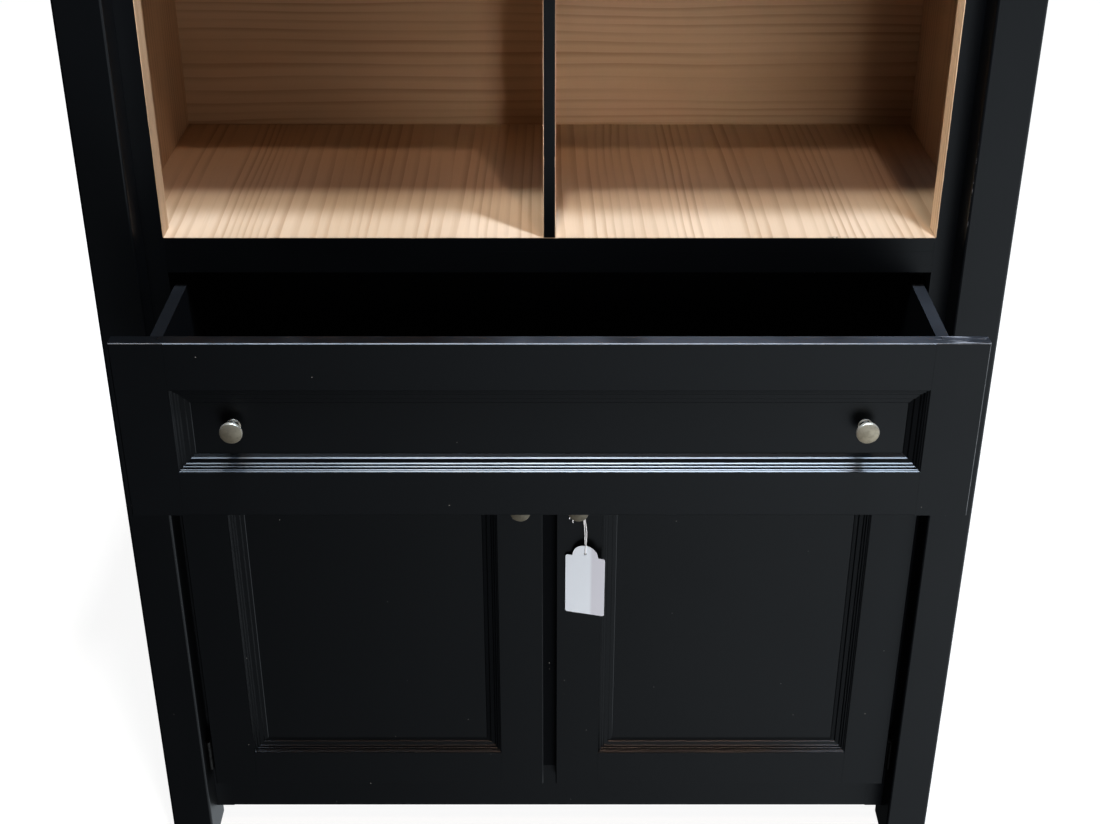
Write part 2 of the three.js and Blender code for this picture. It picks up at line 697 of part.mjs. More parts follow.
function tagGeometry() {
  const shoulder = tagHoleDrop - tagDomeRadius;
  const foot = shoulder - tagBodyHeight;
  const half = tagWidth / 2;
  const shape = new THREE.Shape();
  shape.moveTo(-half, foot + tagCornerRadius);
  shape.absarc(-half + tagCornerRadius, foot + tagCornerRadius, tagCornerRadius, Math.PI, 1.5 * Math.PI);
  shape.absarc(half - tagCornerRadius, foot + tagCornerRadius, tagCornerRadius, 1.5 * Math.PI, 2 * Math.PI);
  shape.absarc(half - tagCornerRadius, shoulder - tagCornerRadius, tagCornerRadius, 0, Math.PI / 2);
  shape.absarc(0, shoulder, tagDomeRadius, 0, Math.PI);
  shape.absarc(-half + tagCornerRadius, shoulder - tagCornerRadius, tagCornerRadius, Math.PI / 2, Math.PI);
  const hole = new THREE.Path();
  hole.absarc(0, 0, tagHoleRadius, 0, 2 * Math.PI, true);
  shape.holes.push(hole);
  const geometry = new THREE.ExtrudeGeometry(shape, {
    depth: tagThickness, bevelEnabled: false, curveSegments: tagCurveSteps,
  });
  geometry.translate(0, 0, -tagThickness / 2);
  geometry.rotateX(Math.PI / 2);
  return geometry;
}

const tagX = doorKnobX + tagAside;
const tagHoleHeight = doorKnobHeight - tagDrop - tagHoleDrop;
const tag = new THREE.Group();
tag.position.set(tagX, neckY, tagHoleHeight);
tag.rotation.z = tagYaw;
cabinet.add(tag);
piece('hang_tag', tagGeometry(), tagCard, tag);

// String: from one free end over the knob's neck, down through the tag's hole and back the same way
class StringRoute extends THREE.CatmullRomCurve3 {
  constructor() {
    const wrap = knobNeckRadius + stringRadius + runningGap;
    const beside = stringRadius + runningGap;
    const points = [];
    const add = (x, y, z) => points.push(new THREE.Vector3(doorKnobX + x, neckY + y, doorKnobHeight + z));
    const half = (y, turn) => {
      for (let i = 0; i <= wrapSteps; i += 1) {
        const done = i / wrapSteps;
        const angle = Math.PI * (turn > 0 ? 1 - done : done);
        add(wrap * Math.cos(angle), y, wrap * Math.sin(angle));
      }
    };
    const eye = tagHoleHeight - doorKnobHeight;
    add(-11.9, -beside, -14.5);
    add(-9.4, -beside, -7.5);
    half(-beside, 1);
    add(7.6, -1.1, -10);
    add(11, -1.4, -34);
    add(tagAside + 0.4, -1.7, eye + 9);
    add(tagAside, -1.7, eye + 3);
    add(tagAside, -1.1, eye + 0.9);
    add(tagAside, 0, eye);
    add(tagAside, 1.1, eye + 0.9);
    add(tagAside, 1.7, eye + 3);
    add(tagAside - 0.4, 1.7, eye + 9);
    add(8.6, 1.4, -34);
    add(6.4, 1.1, -10);
    half(beside, -1);
    add(-6.6, beside, -9);
    add(-7.3, beside, -22);
    super(points);
  }
}

const sectionPoints = [];
for (let i = 0; i < stringSides; i += 1) {
  const angle = (i / stringSides) * 2 * Math.PI;
  sectionPoints.push(new THREE.Vector2(stringRadius * Math.cos(angle), stringRadius * Math.sin(angle)));
}
piece('tag_string', new THREE.ExtrudeGeometry(new THREE.Shape(sectionPoints), {
  steps: stringSteps, bevelEnabled: false, extrudePath: new StringRoute(),
}), tagCotton);

// The origin goes to the middle of the footprint, from the drawer's knobs to the back
const frontMost = openFace + panelRecess - glueLine - knobReach;
cabinet.position.set(0, -(frontMost + cabinetDepth) / 2, 0);

const dresser = new THREE.Group();
dresser.add(cabinet);

export default dresser;
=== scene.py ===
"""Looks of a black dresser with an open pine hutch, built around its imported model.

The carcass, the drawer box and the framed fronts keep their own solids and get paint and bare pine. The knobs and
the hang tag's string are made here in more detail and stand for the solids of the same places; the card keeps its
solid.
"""

import json
import math

import bmesh
import bpy
from bpy.props import FloatProperty, FloatVectorProperty, IntProperty, PointerProperty
from mathutils import Matrix, Vector

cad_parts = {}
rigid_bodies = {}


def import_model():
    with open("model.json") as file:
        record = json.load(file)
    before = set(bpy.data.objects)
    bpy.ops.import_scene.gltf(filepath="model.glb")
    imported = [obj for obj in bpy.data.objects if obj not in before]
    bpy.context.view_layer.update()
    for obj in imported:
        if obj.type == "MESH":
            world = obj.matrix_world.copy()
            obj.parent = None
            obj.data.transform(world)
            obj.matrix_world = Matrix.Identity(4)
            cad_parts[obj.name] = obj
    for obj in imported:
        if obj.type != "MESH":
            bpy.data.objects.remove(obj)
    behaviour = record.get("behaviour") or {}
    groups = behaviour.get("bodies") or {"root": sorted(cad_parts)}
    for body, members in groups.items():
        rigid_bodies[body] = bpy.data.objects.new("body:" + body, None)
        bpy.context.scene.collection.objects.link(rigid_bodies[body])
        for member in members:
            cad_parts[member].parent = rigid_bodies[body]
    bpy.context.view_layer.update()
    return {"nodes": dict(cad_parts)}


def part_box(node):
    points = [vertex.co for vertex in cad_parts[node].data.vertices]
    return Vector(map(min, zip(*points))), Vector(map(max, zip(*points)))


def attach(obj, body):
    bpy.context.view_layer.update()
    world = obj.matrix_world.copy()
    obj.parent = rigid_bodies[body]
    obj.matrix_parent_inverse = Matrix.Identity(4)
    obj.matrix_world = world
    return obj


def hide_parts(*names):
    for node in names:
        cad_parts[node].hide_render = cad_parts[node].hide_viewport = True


bl_info = {
    "name": "Dresser with hutch",
    "version": (1, 0, 0),
    "blender": (4, 5, 0),
    "location": "View3D > Sidebar > Dresser",
    "description": "Paint, pine, knobs and hang tag of a dresser with an open hutch",
    "category": "Object",
}

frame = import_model()
nodes = frame["nodes"]

# Lengths are in metres and colours are linear

# Places of the frame, the walls, the hutch floor and the back
FRAME_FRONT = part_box("waist_rail")[0].y
OPENING_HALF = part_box("face_stile_right")[0].x
WALL_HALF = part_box("side_panel_right")[0].x
HUTCH_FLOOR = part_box("hutch_floor")[1].z
BACK_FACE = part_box("hutch_back")[0].y

# How wide the fringe of a mask is, how wide it is on a moulding, and how far past the paint bare wood starts
FRINGE = 0.0001
FINE_FRINGE = 0.00005
PAST_PAINT = 0.0003

# How far from an arris the paint is rubbed, and on the drawer front also lightened as a painted highlight: on the
# drawer front's face, top and end, and on a post
RUB_AND_HIGHLIGHT_FACE = 0.0011
RUB_AND_HIGHLIGHT_TOP = 0.0009
RUB_AND_HIGHLIGHT_END = 0.001
RUBBED_POST = 0.0014

# Heights between which a post's inner arris is rubbed, as the start and end of its fading below and above
POST_RUB_BELOW = (0.97, 0.99)
POST_RUB_ABOVE = (1.07, 1.09)

# Where the one scuff on the hutch floor's front edge is
SCUFF_PLACE = 0.345

# Colours of the film of dust and painted sheen and of the lint on the paint, the card's painted shade past its
# crease, and the hinges
DUST_AND_SHEEN_FILM = (0.045, 0.05, 0.06)
LINT = (0.36, 0.35, 0.33)
CARD_SHADE_PAST_CREASE = (0.66, 0.675, 0.75)
STEEL = (0.05, 0.048, 0.046)

# How thick the film of dust and painted sheen lies on level paint: usually, on the drawer front and on the top board
DUST_AND_SHEEN = 0.5
DUST_AND_SHEEN_FRONT = 1.9
DUST_AND_SHEEN_TOP = 0.12

# Bands of a moulding by their distance from its outer edge: the quirk of its sides, and the hollows between the
# steps and the bead of its lower length
SIDE_QUIRK = (0.00125, 0.00235)
LOWER_HOLLOWS = ((0.00152, 0.00208), (0.0029, 0.00505), (0.006, 0.00815), (0.0203, 0.022))
LOWER_BEAD = (0.01565, 0.0203)

# How far the normal leans in these bands, and the shares of it that a door's moulding and a left side have
QUIRK_LEAN = 0.75
HOLLOW_LEAN = 0.97
BEAD_LEAN = 0.5
DOOR_SHARE = 0.4
LEFT_SHARE = 0.1

# How much smoother a moulding is on its lower length, and on a door also on the left side's risers
LOWER_GLEAM = 0.04
LEFT_GLEAM = 0.3

# How far behind a knob's face its rim is, as a share of the reach, and where the painted highlight on the rim
# starts, as shares of the radius
RIM_DEPTH = 0.25
RIM_HIGHLIGHT_BAND = (0.93, 0.965)

# How far behind the rim a knob's dark hollow starts and ends, and where the painted highlight on its base ring
# starts
HOLLOW_START = (0.0005, 0.0045)
HOLLOW_END = (0.0142, 0.0152)
RING_HIGHLIGHT_START = (0.0142, 0.015)

# The tag: where its crease is, as a share of the way from the middle to the right edge. Then the string: how many
# turns its plies make, and how many parts a length between two points of its route has
CREASE = 0.3
PLY_TURNS = 95.0
ROUTE_PARTS = 6

# The photograph's camera: its place, its tilt below level in degrees and its sensor in millimetres
CAMERA_PLACE = (0.0007, -1.9062, 1.719)
CAMERA_TILT = 29.1
SENSOR = 36.0

# Radii of the floor and of the backdrop, and the colour of what glossy paint reflects
FLOOR_RADIUS = 14.0
BACKDROP_RADIUS = 13.9
SKY = (0.86, 0.94, 1.0, 1.0)

# The glow below the horizon: how far left of the middle it starts, and where it stops growing
GLOW_START = 0.18
GLOW_MOST = 0.54

# Lights that throw the shadows in the hutch: the way to each from their target, its depth and its tint
SHADOW_TARGET = (0.0, -0.0345, HUTCH_FLOOR)
SHADOW_DISTANCE = 4.5
SHADOW_WIDTH = 0.13
SHADOW_LIGHTS = {
    "key": ((0.283, -1.0, 1.82), 0.18, (1.0, 0.72, 0.57)),
    "top": ((1.03, -1.0, 6.4), 0.25, (0.69, 0.816, 1.0)),
    "middle": ((-0.1, -1.0, 4.45), 0.34, (1.0, 0.99, 0.944)),
}

# Lights that reflections don't show: the setting and the share of it that is their power, place, aim, size and tint
FRONTS_MIDDLE = (0.0, -0.2, 0.55)
STILES_MIDDLE = (0.0, FRAME_FRONT, 1.05)
SOFT_LIGHTS = {
    "low": ("low", 1.0, (0.35, -2.5, -1.15), FRONTS_MIDDLE, (0.8, 0.6), (1.0, 0.99, 0.98)),
    "wash": ("wash", 1.0, (0.8, -2.6, 0.945), (0.0, 0.3, 1.05), (0.9, 0.03), (1.0, 0.88, 0.8)),
    "beam": ("beam", 1.0, (0.5, -2.6, 1.73), (0.11, 0.3, 1.02), (0.4, 0.06), (1.0, 0.88, 0.8)),
    "edge_left": ("edge", 1.0, (-1.8, -2.0, 1.5), STILES_MIDDLE, (0.3, 0.3), (1.0, 0.9, 0.82)),
    "edge_right": ("edge", 0.35, (1.8, -2.0, 1.5), STILES_MIDDLE, (0.3, 0.3), (1.0, 0.9, 0.82)),
    "edge_middle": ("edge", 0.42, (-1.8, -2.0, 1.5), STILES_MIDDLE, (0.3, 0.3), (1.0, 0.86, 0.76)),
}

# How far the narrow light called beam spreads, in degrees
BEAM_SPREAD = 12.0

# The high light that shows only in reflections: place, size and tint
SHEEN_PLACE = (0.2, -0.9, 3.4)
SHEEN_SIZE = (2.4, 0.5)
SHEEN_TINT = (0.6, 0.78, 1.0)


# ---------------------------------------------------------------- settings


def length(text, default, description):
    """A length that is shown in the scene's units."""
    return FloatProperty(
        name=text, description=description, default=default, min=0.0, max=10.0, precision=4, unit="LENGTH",
        subtype="DISTANCE",
    )


def share(text, default, description, high=1.0):
    """A plain factor from nought to a highest value."""
    return FloatProperty(name=text, description=description, default=default, min=0.0, max=high)


def watts(text, default, description):
    """The power of a light."""
    return share(text, default, description, 2000.0)


def colour(text, default, description):
    """A linear colour."""
    return FloatVectorProperty(
        name=text, description=description, default=default, size=3, min=0.0, max=1.0, subtype="COLOR"
    )


class PaintSettings(bpy.types.PropertyGroup):
    """Black paint on the carcass, the drawer front and the doors."""

    tint: colour("Paint", (0.0018, 0.0022, 0.0031), "Colour of the black paint")
    box_tint: colour("Drawer box", (0.005, 0.0056, 0.007), "Colour of the stained drawer box")
    roughness: share("Roughness", 0.4, "Roughness of the satin paint")
    gloss: share("Gloss", 0.5, "Specular level of the satin paint")
    grain: share("Texture", 0.05, "Strength of the roller texture")
    dust: share("Dust", 0.5, "How many specks of dust lie on the paint")
    arris: length("Bare arris", 0.0009, "Width of bare pine along the painted front edges")
    # The worn colour also paints the highlight along the drawer front's arrises
    worn: colour("Worn", (0.3, 0.31, 0.33), "Colour of the paint where it is rubbed")
    slope: share("Slope", 0.22, "How steeply the treads of the mouldings fall towards the panel")


class PineSettings(bpy.types.PropertyGroup):
    """Unfinished pine inside the hutch."""

    early: colour("Early wood", (0.6, 0.462, 0.33), "Colour between the rings")
    late: colour("Late wood", (0.34, 0.21, 0.118), "Colour of the rings")
    spacing: length("Ring spacing", 0.014, "Usual distance between rings on a face")
    contrast: share("Contrast", 0.62, "How strongly the rings show")
    roughness: share("Roughness", 0.6, "Roughness of the sanded wood")


class KnobSettings(bpy.types.PropertyGroup):
    """Pewter mushroom knobs."""

    metal: colour("Pewter", (0.355, 0.325, 0.255), "Colour of the worn metal")
    patina: colour("Patina", (0.04, 0.037, 0.031), "Colour of the darkened metal in the hollows")
    # Colour of the painted highlight on the knobs' rims and base rings
    rim: colour("Rim", (0.72, 0.69, 0.6), "Colour of the metal that hands have rubbed bright")
    steps: IntProperty(name="Steps", description="Steps round a knob", default=72, min=24, max=128)


class TagSettings(bpy.types.PropertyGroup):
    """Card tag on a cotton string."""

    card: colour("Card", (0.82, 0.88, 0.96), "Colour of the card")
    cotton: colour("Cotton", (0.96, 0.97, 1.0), "Colour of the string")
    string: length("String", 0.0016, "Diameter of the string")
    curl: length("Curl", 0.0016, "How far the card's long edges curl back")


class StudioSettings(bpy.types.PropertyGroup):
    """Lights, floor and camera."""

    ground: colour("Floor", (0.3, 0.3, 0.3), "Colour of the floor")
    glow: share("Floor glow", 0.78, "How bright the floor and the backdrop are by themselves", 2.0)
    ambient: share("Ambient", 0.008, "Brightness of the surroundings outside the glow", 10.0)
    bounce: share("Bounce", 2.62, "How strongly the glow below the horizon grows to the right", 10.0)
    key: watts("Key", 32.0, "Power of the warm key light")
    top: watts("Top", 188.0, "Power of the steep cool light")
    middle: watts("Middle", 91.0, "Power of the middle light")
    low: watts("Low", 67.0, "Power of the soft light from below the front")
    wash: watts("Wash", 5.6, "Power of the level light into the hutch")
    beam: watts("Beam", 0.13, "Power of the narrow light into the right compartment")
    edge: watts("Edge", 54.0, "Power of the lights on the bare edges of the stiles and the divider")
    sheen: watts("Sheen", 120.0, "Power of the high light that shows in reflections")
    lens: FloatProperty(name="Lens", description="Focal length in millimetres on a 36 mm frame", default=52.94)


# ---------------------------------------------------------------- shader maths


class Wire:
    """A value in a finish. Arithmetic on it adds the Math nodes that it needs."""

    def __init__(self, finish, socket):
        self.finish = finish
        self.socket = socket

    def _math(self, operation, *values):
        return self.finish.node("ShaderNodeMath", {"operation": operation}, dict(enumerate(values)))

    def __add__(self, other):
        return self._math("ADD", self, other)

    def __radd__(self, other):
        return self._math("ADD", other, self)

    def __sub__(self, other):
        return self._math("SUBTRACT", self, other)

    def __rsub__(self, other):
        return self._math("SUBTRACT", other, self)

    def __mul__(self, other):
        return self._math("MULTIPLY", self, other)

    def __rmul__(self, other):
        return self._math("MULTIPLY", other, self)

    def __truediv__(self, other):
        return self._math("DIVIDE", self, other)

    def __pow__(self, other):
        return self._math("POWER", self, other)

    def size(self):
        """The value without its sign."""
        return self._math("ABSOLUTE", self)

    def part(self):
        """What is left of the value past a whole number."""
        return self._math("FRACT", self)

    def root(self):
        """The square root."""
        return self._math("SQRT", self)

    def wave(self):
        """The sine of the value."""
        return self._math("SINE", self)

    def under(self, other):
        """The smaller of two values."""
        return self._math("MINIMUM", self, other)

    def over(self, other):
        """The larger of two values."""
        return self._math("MAXIMUM", self, other)

    def rise(self, low, high):
        """A smooth step from 0 at low to 1 at high."""
        inputs = {"Value": self, "From Min": low, "From Max": high}
        return self.finish.node("ShaderNodeMapRange", {"interpolation_type": "SMOOTHSTEP"}, inputs)

    def fall(self, low, high):
        """A smooth step from 1 at low to 0 at high."""
        return 1.0 - self.rise(low, high)

    def within(self, low, high):
        """1 from low to high, with a narrow fringe at both."""
        starts = self.rise(low - FINE_FRINGE, low + FINE_FRINGE)
        return starts * self.fall(high - FINE_FRINGE, high + FINE_FRINGE)


class Plan:
    """A node tree and what every finish builds in it."""

    def __init__(self, tree):
        self.tree = tree
        self.tree.nodes.clear()

    def node(self, kind, settings=None, inputs=None, output=0):
        """Adds a node, sets it, and joins or fills its inputs."""
        node = self.tree.nodes.new(kind)
        for key, value in (settings or {}).items():
            setattr(node, key, value)
        for key, value in (inputs or {}).items():
            if isinstance(value, Wire):
                self.tree.links.new(value.socket, node.inputs[key])
            else:
                node.inputs[key].default_value = value
        return Wire(self, node.outputs[output])

    def parts(self, vector):
        """The three parts of a vector."""
        split = self.node("ShaderNodeSeparateXYZ", inputs={0: vector})
        return [Wire(self, socket) for socket in split.socket.node.outputs]

    def place(self):
        """The three Object coordinates, in metres."""
        return self.parts(self.node("ShaderNodeTexCoord", output="Object"))

    def facing(self):
        """The three parts of the surface's normal."""
        return self.parts(self.node("ShaderNodeNewGeometry", output="Normal"))

    def point(self, a, b, c):
        """A vector from three values."""
        return self.node("ShaderNodeCombineXYZ", inputs={0: a, 1: b, 2: c})

    def noise(self, point, scale=1.0, detail=2.0, roughness=0.5):
        """Soft noise from 0 to 1."""
        inputs = {"Vector": point, "Scale": scale, "Detail": detail, "Roughness": roughness}
        return self.node("ShaderNodeTexNoise", None, inputs)

    def specks(self, point, scale, radius, amount):
        """Small round dots, one in a few cells of a grid."""
        cells = self.node("ShaderNodeTexVoronoi", {"feature": "F1"}, {"Vector": point, "Scale": scale})
        pick = self.node("ShaderNodeTexVoronoi", {"feature": "F1"}, {"Vector": point, "Scale": scale}, "Color")
        chance = self.node("ShaderNodeSeparateColor", None, {0: pick})
        return cells.fall(radius * 0.6, radius) * chance.rise(1.0 - amount, 1.0 - amount * 0.9)

    def mix(self, amount, a, b):
        """A colour between a and b."""
        colours = {6: a if isinstance(a, Wire) else (*a, 1.0), 7: b if isinstance(b, Wire) else (*b, 1.0)}
        return self.node("ShaderNodeMix", {"data_type": "RGBA"}, {0: amount, **colours}, 2)

    def between(self, amount, a, b):
        """A value between a and b."""
        return self.node("ShaderNodeMix", {"data_type": "FLOAT"}, {0: amount, 2: a, 3: b})

    def bump(self, height, distance, strength):
        """A normal from a height of 0 to 1 that stands for a distance in metres."""
        inputs = {"Height": height, "Distance": distance, "Strength": strength}
        return self.node("ShaderNodeBump", None, inputs)


class Finish(Plan):
    """A node material for one finish, with its Principled shader, whose fixed inputs are given by name."""

    def __init__(self, name, **fixed):
        self.material = bpy.data.materials.new(name)
        self.material.use_nodes = True
        super().__init__(self.material.node_tree)
        self.shader = self.tree.nodes.new("ShaderNodeBsdfPrincipled")
        output = self.tree.nodes.new("ShaderNodeOutputMaterial")
        self.tree.links.new(self.shader.outputs[0], output.inputs["Surface"])
        for socket, value in fixed.items():
            self.shader.inputs[socket.replace("_", " ").title().replace("Ior", "IOR")].default_value = value

    def dress(self, tone, roughness, normal=None):
        """Joins what changes over the surface to the shader, and gives the material."""
        joins = {"Base Color": tone, "Roughness": roughness, "Normal": normal}
        for socket, value in joins.items():
            if value is not None:
                self.tree.links.new(value.socket, self.shader.inputs[socket])
        return self.material


# ---------------------------------------------------------------- finishes


def pine_grain(finish, along, across, through, settings, seed):
    """Colour, roughness and height of plain-sawn pine whose grain runs one way."""
    drift = finish.noise(finish.point(along * 1.5, across * 6.0 + seed, through * 6.0), detail=1.0) - 0.5
    ripple = finish.noise(finish.point(along * 6.0, across * 30.0, through * 30.0 + seed), detail=2.0) - 0.5
    sideways = across + drift * 0.034 + ripple * 0.0045
    crowd = finish.noise(finish.point(seed * 3.1, sideways * 8.0, along * 0.35), detail=1.0)
    ring = (sideways / settings.spacing + crowd * 5.5 + through * 24.0).part()
    late = ring.rise(0.4, 0.93) * ring.fall(0.95, 1.0)
    faint = finish.noise(finish.point(along * 2.2, sideways * 26.0, seed), detail=1.0)
    fibre = finish.noise(finish.point(along * 16.0, across * 900.0, through * 900.0), detail=2.0)
    broad = finish.noise(finish.point(along * 1.2, across * 7.0, through * 7.0 + seed * 2.0), detail=2.0)
    light = tuple(min(1.0, value * 1.07) for value in settings.early)
    dark = tuple(value * shade for value, shade in zip(settings.early, (0.9, 0.86, 0.8)))
    ground = finish.mix(broad.rise(0.3, 0.72), light, dark)
    rings = late * faint.rise(0.22, 0.72) * settings.contrast
    wood = finish.mix(rings + (fibre - 0.5) * 0.16, ground, tuple(settings.late))
    return wood, settings.roughness + (fibre - 0.5) * 0.2 - late * 0.06, fibre * 0.6 + late * 0.4


def paint_coat(finish, settings, tint, x, y, z, worn=None, dust_and_sheen=DUST_AND_SHEEN):
    """Colour, roughness and height of satin paint with a little dust on it, and on level faces a film of dust and
    painted sheen. worn gives 1 where it is rubbed, and on the drawer front also where a highlight is painted.
    """
    spot = finish.point(x, y, z)
    cloud = finish.noise(spot, 5.0, 3.0)
    fine = finish.noise(spot, 420.0, 2.0)
    up = finish.facing()[2]
    small = finish.specks(spot, 95.0, 0.075, 0.05 * settings.dust)
    lint = small + finish.specks(spot, 38.0, 0.05, 0.03 * settings.dust)
    # A lighter film on level faces: partly dust, partly painted sheen of the light from above
    film = up.rise(0.5, 0.95) * cloud.rise(0.35, 0.75)
    deep = tuple(value * 0.8 for value in tint)
    coat = finish.mix(cloud, deep, tuple(tint))
    coat = finish.mix((film * dust_and_sheen).under(1.0), coat, DUST_AND_SHEEN_FILM)
    coat = finish.mix(lint.under(1.0) * 0.8, coat, LINT)
    rough = settings.roughness + (cloud - 0.5) * 0.1 + film * 0.08 + lint * 0.3
    # Rubbed paint, and on the drawer front also the painted highlight along its arrises
    if worn is not None:
        rubbed = worn(finish, x, y, z).under(1.0)
        coat = finish.mix(rubbed, coat, tuple(settings.worn))
        rough = rough + rubbed * 0.2
    return coat, rough, fine


def board_finish(name, scene, grain="z", seed=0.0, bare=None, worn=None, dust_and_sheen=DUST_AND_SHEEN, gloss=None):
    """Painted or bare wood. bare and worn take the finish and the coordinates and give 1 where they apply."""
    paint, pine = scene.dresser_paint, scene.dresser_pine
    finish = Finish(name, specular_ior_level=paint.gloss if gloss is None else gloss)
    x, y, z = finish.place()
    coat, coat_rough, coat_height = paint_coat(finish, paint, paint.tint, x, y, z, worn, dust_and_sheen)
    if bare is None:
        return finish.dress(coat, coat_rough, normal=finish.bump(coat_height, 0.00003, paint.grain))
    along, across, through = {"x": (x, z, y), "y": (y, x, z), "z": (z, y, x)}[grain]
    wood, wood_rough, wood_height = pine_grain(finish, along, across, through, pine, seed)
    mask = bare(finish, x, y, z)
    height = finish.between(mask, coat_height * paint.grain, wood_height)
    return finish.dress(
        finish.mix(mask, coat, wood), finish.between(mask, coat_rough, wood_rough),
        normal=finish.bump(height, 0.00012, 0.6),
    )


def moulding_finish(name, lean_share, scene):
    """Painted moulding whose normal leans with its treads, quirks, hollows and bead."""
    paint = scene.dresser_paint
    finish = Finish(f"satin black {name}", specular_ior_level=paint.gloss)
    x, y, z = finish.place()
    coat, rough, _ = paint_coat(finish, paint, paint.tint, x, y, z)
    low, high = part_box(name)
    left, right, lower, upper = x - low.x, high.x - x, z - low.z, high.z - z
    inward = left.under(right).under(lower).under(upper)
    on_left, on_right, on_lower = ((inward - side).rise(-0.00002, 0.0) for side in (left, right, lower))
    to_right, _, up = finish.facing()
    tread_lean = paint.slope * lean_share
    side_lean = tread_lean - inward.within(*SIDE_QUIRK) * (tread_lean + QUIRK_LEAN)
    hollows = sum(inward.within(*edges) for edges in LOWER_HOLLOWS)
    bead = inward.within(*LOWER_BEAD)
    off_risers = up.fall(0.2, 0.4)
    rounding = bead * (BEAD_LEAN * lean_share) - hollows * (HOLLOW_LEAN * lean_share)
    lower_lean = off_risers * tread_lean + rounding
    lean = finish.point((on_left * LEFT_SHARE - on_right) * side_lean, 0.0, on_lower * lower_lean)
    left_risers = on_left * to_right.rise(0.2, 0.4)
    gleam = on_lower * LOWER_GLEAM + left_risers * (LEFT_GLEAM * (1.0 - lean_share))
    turned = finish.node("ShaderNodeVectorTransform", {"convert_from": "OBJECT", "convert_to": "WORLD"}, {0: lean})
    flat = finish.node("ShaderNodeNewGeometry", output="Normal")
    both = finish.node("ShaderNodeVectorMath", {"operation": "ADD"}, {0: flat, 1: turned})
    normal = finish.node("ShaderNodeVectorMath", {"operation": "NORMALIZE"}, {0: both})
    return finish.dress(coat, rough - gleam, normal=normal)


def step(value, edge):
    """1 past a sharp edge, with a narrow fringe."""
    return value.rise(edge, edge + FRINGE)


def inside_walls(x):
    """1 between the inner faces of the side panels."""
    return step(-1.0 * x.size(), -WALL_HALF - PAST_PAINT)


def behind_front(y):
    """1 behind the paint on the frame's front plane."""
    return step(y, FRAME_FRONT + PAST_PAINT)


def pewter_finish(settings, name, rim_centre, radius, shade):
    """Worn pewter: a painted highlight on the head's rim and on the base ring, dark in the hollow between them."""
    finish = Finish(name, metallic=0.6)
    x, y, z = finish.place()
    spot = finish.point(x, y, z)
    out = ((x - rim_centre.x) ** 2.0 + (z - rim_centre.z) ** 2.0).root() / radius
    cloud = finish.noise(spot, 160.0, 4.0, 0.6)
    scratch = finish.noise(finish.point(x * 500.0, y * 900.0, z * 2400.0), 1.0, 2.0)
    behind = y - rim_centre.y
    hollow = behind.rise(*HOLLOW_START) * behind.fall(*HOLLOW_END)
    patches = cloud.rise(0.42, 0.7) * 0.22
    dark = (hollow + patches).under(1.0)
    # shade makes this knob's metal lighter or darker: painted light and shade
    metal = finish.mix(dark, tuple(value * shade for value in settings.metal), tuple(settings.patina))
    # Painted highlights on the head's rim and on the base ring
    rim = out.rise(*RIM_HIGHLIGHT_BAND) * behind.fall(0.0, 0.001)
    ring = behind.rise(*RING_HIGHLIGHT_START) * (1.0 - patches)
    metal = finish.mix(rim.over(ring), metal, tuple(value * min(shade, 1.0) for value in settings.rim))
    turned = (out * 150.0).wave() * 0.5 + 0.5
    rough = 0.48 + patches * 0.4 + (scratch - 0.5) * 0.12 - rim * 0.16
    return finish.dress(metal, rough, normal=finish.bump(turned * 0.3 + scratch * 0.3 + cloud * 1.6, 0.00006, 0.8))


def steel_finish(tint):
    """Blackened steel of the hinges."""
    finish = Finish("hinge steel", metallic=1.0)
    x, y, z = finish.place()
    spot = finish.point(x, y, z)
    cloud = finish.noise(spot, 120.0, 3.0)
    brushed = finish.noise(finish.point(x * 1500.0, y * 1500.0, z * 60.0), 1.0, 2.0)
    metal = finish.mix(cloud.rise(0.35, 0.7), tint, tuple(value * 0.5 for value in tint))
    return finish.dress(metal, 0.36 + brushed * 0.2, normal=finish.bump(brushed, 0.00002, 0.5))


def card_finish(settings):
    """Smooth white card with faint fibres, whose normal alone shows a crease and a long edge that bends back."""
    finish = Finish("tag card", specular_ior_level=0.35)
    x, y, z = finish.place()
    low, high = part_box("hang_tag")
    across = (x - (low.x + high.x) / 2.0) / ((high.x - low.x) / 2.0)
    fibres = finish.noise(finish.point(x * 700.0, y * 700.0, z * 1100.0), 1.0, 3.0)
    cloud = finish.noise(finish.point(x, y, z), 40.0, 2.0)
    card = tuple(settings.card)
    tone = finish.mix(fibres * 0.5 + cloud * 0.5, card, tuple(value * 0.93 for value in card))
    # Past the crease the card turns away from the light: its shade is painted into the colour
    tone = finish.mix(across.rise(0.2, 0.4), tone, CARD_SHADE_PAST_CREASE)
    bend = across.over(0.0) ** 2.0 + (across * -1.0).over(0.0) ** 3.0 * 0.3
    crease = (across - CREASE).size().fall(0.0, 0.02) * 0.06
    height = bend * -1.0 + fibres * 0.015 - crease
    return finish.dress(tone, 0.5 + fibres * 0.12, normal=finish.bump(height, settings.curl, 1.0))


def cotton_finish(settings):
    """Twisted cotton: slanting ply lines round the string, from its own UV map, with painted shade in the grooves
    between the plies.
    """
    finish = Finish("tag cotton", specular_ior_level=0.2, sheen_weight=0.3)
    run, turn, _ = finish.parts(finish.node("ShaderNodeTexCoord", output="UV"))
    ply = ((run * PLY_TURNS + turn * 2.0) * (2.0 * math.pi)).wave() * 0.5 + 0.5
    fuzz = finish.noise(finish.point(run * 900.0, turn * 40.0, 0.0), 1.0, 3.0)
    cotton = tuple(settings.cotton)
    # Darker in the grooves between the plies: painted shade
    tone = finish.mix(ply.rise(0.0, 0.45), tuple(value * 0.85 for value in cotton), cotton)
    return finish.dress(tone, 0.8 + fuzz * 0.15, normal=finish.bump(ply + fuzz * 0.4, 0.00018, 0.8))


